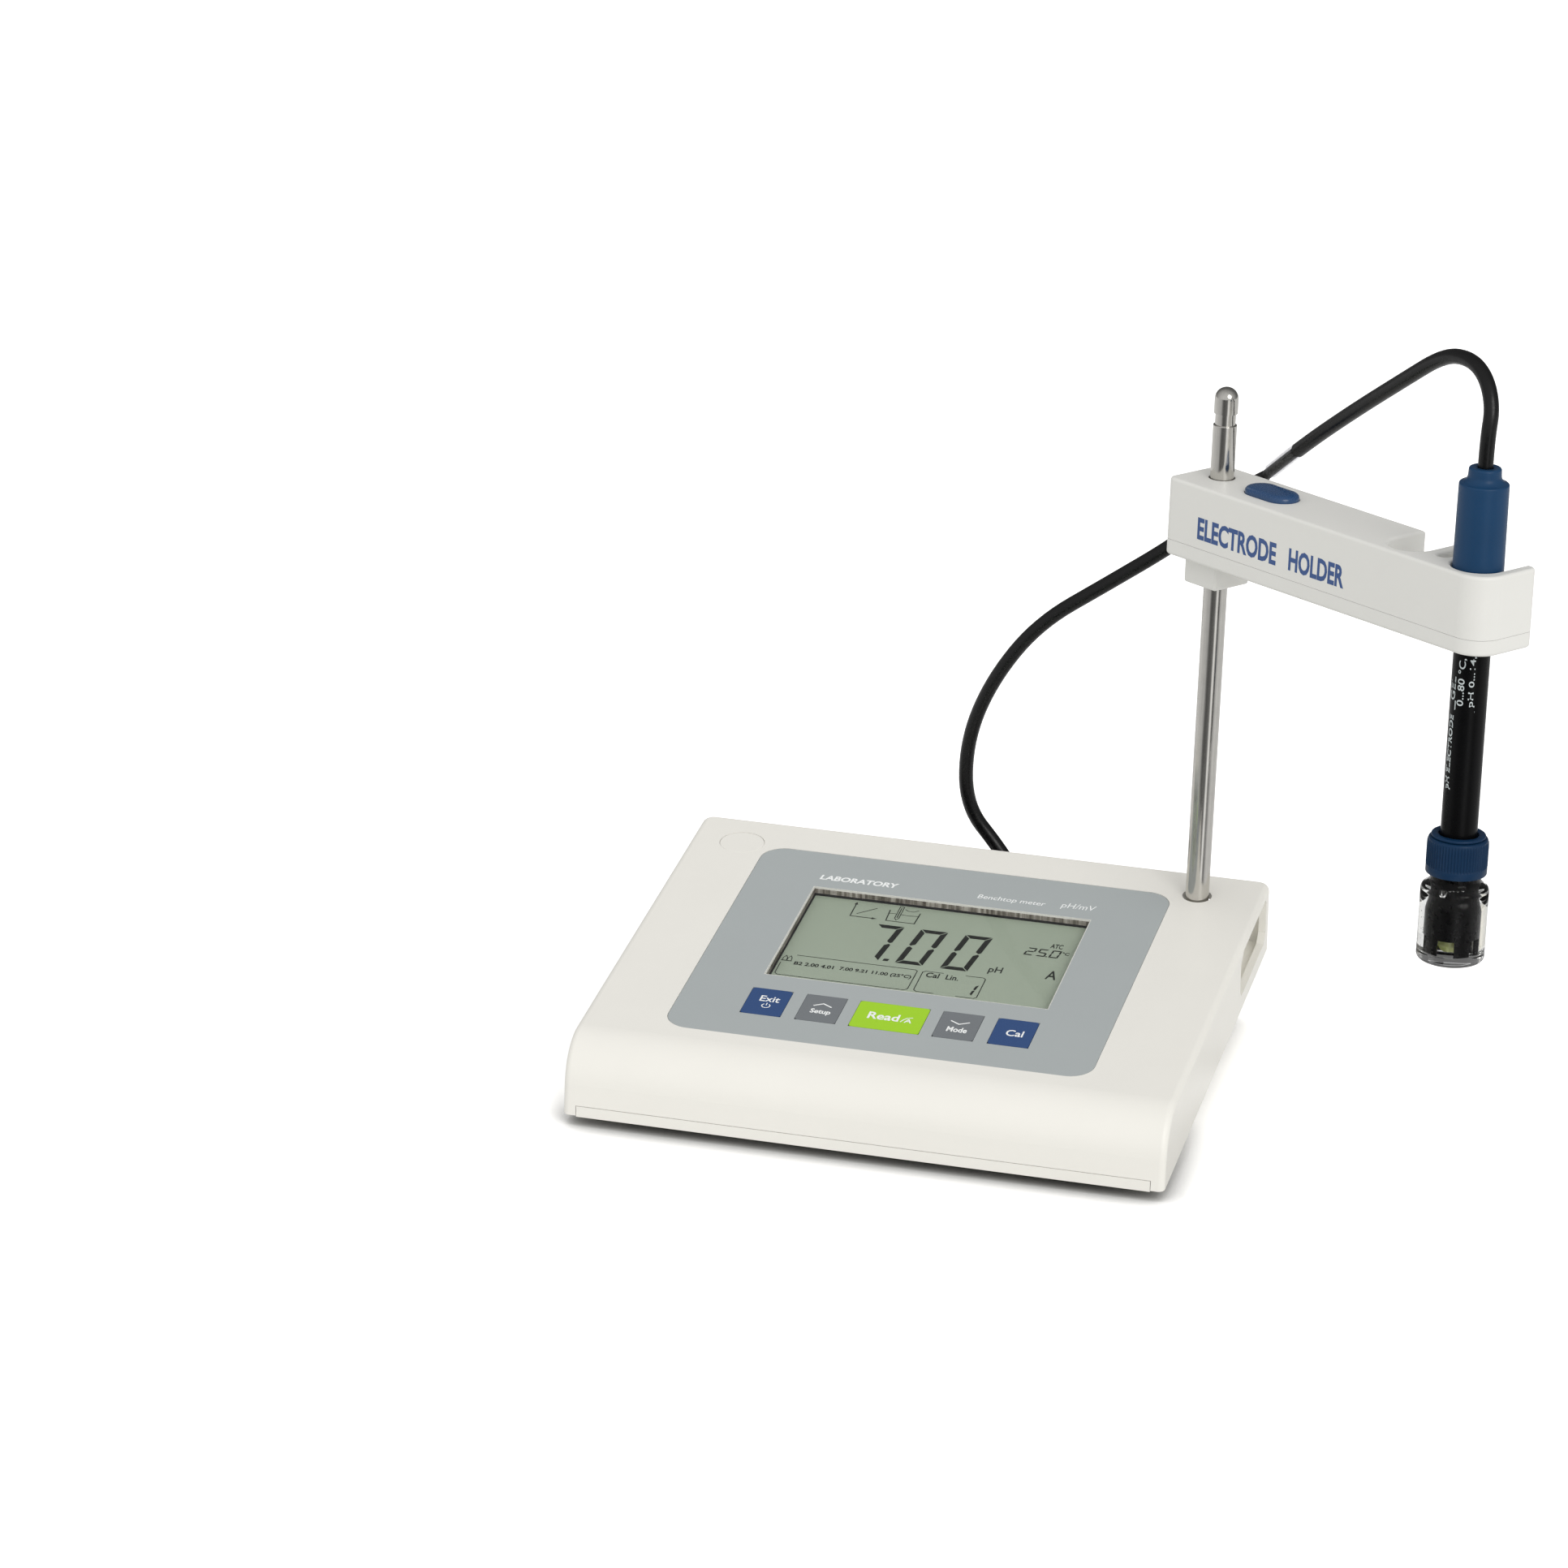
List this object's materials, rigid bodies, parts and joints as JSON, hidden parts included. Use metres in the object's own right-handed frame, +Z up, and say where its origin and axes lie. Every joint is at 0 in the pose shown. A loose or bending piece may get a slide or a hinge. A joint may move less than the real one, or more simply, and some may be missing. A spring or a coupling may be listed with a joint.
{
  "type": "ph meter",
  "caption": "Bench pH meter with a sloping keypad console and display, an electrode arm on a steel pole, and a pH electrode in its storage bottle with its cable.",
  "frame": {"origin": "on the table, below the middle of the object without its cable", "axes": "+Z up, +X to the user's right, +Y to the rear of the console"},
  "size_m": [0.292, 0.2546, 0.2625],
  "materials": {
    "case": "fine texture, off-white",
    "tray": "fine texture, off-white",
    "arm_case": "fine texture, off-white",
    "overlay": "satin grey film",
    "key_blue": "satin blue",
    "key_grey": "satin grey",
    "key_green": "satin green",
    "domes": "bright",
    "window": "clear",
    "frame_dark": "matte black",
    "lcd": "grey-green liquid crystal",
    "board": "green lacquer",
    "tin": "tinned sheet",
    "screw_steel": "zinc plated",
    "foot_rubber": "matte",
    "socket_metal": "nickel plated",
    "socket_black": "satin black",
    "pole_steel": "brushed stainless",
    "base_metal": "turned",
    "bush": "natural acetal",
    "lever": "stamped",
    "button_blue": "satin blue",
    "spring_steel": "spring wire",
    "head_blue": "satin dark blue",
    "shaft_black": "satin black",
    "membrane": "clear",
    "junction": "porous ceramic",
    "element": "silver wire",
    "cap_blue": "satin dark blue",
    "washer": "silicone",
    "bottle_clear": "clear",
    "solution": "clear liquid",
    "cable_black": "satin black jacket",
    "sleeve_clear": "clear",
    "plug_metal": "nickel plated"
  },
  "bodies": {
    "console": {"top_housing": "case", "bottom_housing": "tray", "keypad_overlay": "overlay", "key_domes": "domes", "display_window": "window", "display_frame": "frame_dark", "display_module": "lcd", "main_board": "board", "input_shield": "tin", "board_screws": "screw_steel", "housing_screws": "screw_steel", "rubber_feet": "foot_rubber", "rear_panel": "frame_dark", "bnc_socket": "socket_metal", "temperature_socket": "socket_black", "reference_socket": "socket_black", "power_socket": "socket_black", "serial_socket": "socket_metal", "usb_socket": "socket_metal", "pole": "pole_steel", "pole_base": "base_metal", "pole_screw": "screw_steel", "cable_drop": "cable_black", "cable_coil": "cable_black", "cable_tail": "cable_black", "bnc_plug": "plug_metal"},
    "blind_plug": {"blind_plug": "case"},
    "lift": {"guide_bush": "bush"},
    "arm": {"arm_upper_shell": "arm_case", "arm_lower_shell": "arm_case", "arm_screws": "screw_steel", "lever_pin": "screw_steel", "button_spring": "spring_steel", "cable_sleeve": "sleeve_clear", "cable_arm_run": "cable_black"},
    "release_button": {"release_button": "button_blue"},
    "clamp_lever": {"clamp_lever": "lever"},
    "electrode": {"electrode_head": "head_blue", "electrode_shaft": "shaft_black", "glass_membrane": "membrane", "junction_ring": "junction", "inner_electrode": "element", "cable_head_run": "cable_black"},
    "cap": {"seal_ring": "head_blue", "bottle_cap": "cap_blue", "bottle_washer": "washer"},
    "bottle": {"storage_bottle": "bottle_clear", "storage_solution": "solution"},
    "key_exit": {"key_exit": "key_blue"},
    "key_setup": {"key_setup": "key_grey"},
    "key_read": {"key_read": "key_green"},
    "key_mode": {"key_mode": "key_grey"},
    "key_cal": {"key_cal": "key_blue"}
  },
  "joints": [
    {"name": "press_exit", "type": "slide", "parent": "console", "child": "key_exit", "axis": [0, 0.1357, -0.9907], "range_m": [0, 0.0004], "stiffness_N_per_m": 900, "springref_m": -0.0002},
    {"name": "press_setup", "type": "slide", "parent": "console", "child": "key_setup", "axis": [0, 0.1357, -0.9907], "range_m": [0, 0.0004], "stiffness_N_per_m": 900, "springref_m": -0.0002},
    {"name": "press_read", "type": "slide", "parent": "console", "child": "key_read", "axis": [0, 0.1357, -0.9907], "range_m": [0, 0.0004], "stiffness_N_per_m": 900, "springref_m": -0.0002},
    {"name": "press_mode", "type": "slide", "parent": "console", "child": "key_mode", "axis": [0, 0.1357, -0.9907], "range_m": [0, 0.0004], "stiffness_N_per_m": 900, "springref_m": -0.0002},
    {"name": "press_cal", "type": "slide", "parent": "console", "child": "key_cal", "axis": [0, 0.1357, -0.9907], "range_m": [0, 0.0004], "stiffness_N_per_m": 900, "springref_m": -0.0002},
    {"name": "plug_lift", "type": "slide", "parent": "console", "child": "blind_plug", "axis": [0, -0.1357, 0.9907], "range_m": [0, 0.012]},
    {"name": "arm_lift", "type": "slide", "parent": "console", "child": "lift", "axis": [0, 0, 1], "range_m": [-0.05, 0.018], "deforming": ["cable_drop"]},
    {"name": "arm_swivel", "type": "hinge", "parent": "lift", "child": "arm", "pos_m": [0.0321, 0.0667, 0.175], "axis": [0, 0, 1], "range_deg": [-35, 105], "deforming": ["cable_arm_run", "cable_drop"]},
    {"name": "button_press", "type": "slide", "parent": "arm", "child": "release_button", "axis": [0, 0, -1], "range_m": [0, 0.0025], "stiffness_N_per_m": 700, "springref_m": -0.0012, "deforming": ["button_spring"]},
    {"name": "lever_pivot", "type": "hinge", "parent": "arm", "child": "clamp_lever", "pos_m": [0.02691, 0.07027, 0.186], "axis": [0.5664, 0.8241, 0], "range_deg": [0, 4.7], "deforming": ["button_spring"]},
    {"name": "electrode_lift", "type": "slide", "parent": "arm", "child": "electrode", "axis": [0, 0, 1], "range_m": [0, 0.045], "deforming": ["cable_head_run"]},
    {"name": "bottle_pull", "type": "slide", "parent": "electrode", "child": "cap", "axis": [0, 0, -1], "range_m": [0, 0.05]},
    {"name": "bottle_turn", "type": "hinge", "parent": "cap", "child": "bottle", "pos_m": [0.12871, -0.00212, 0.09], "axis": [0, 0, 1], "range_deg": [0, 450]}
  ],
  "couplings": [
    {"joint": "lever_pivot", "follows": "button_press", "rad_per_m": 31.95}
  ]
}
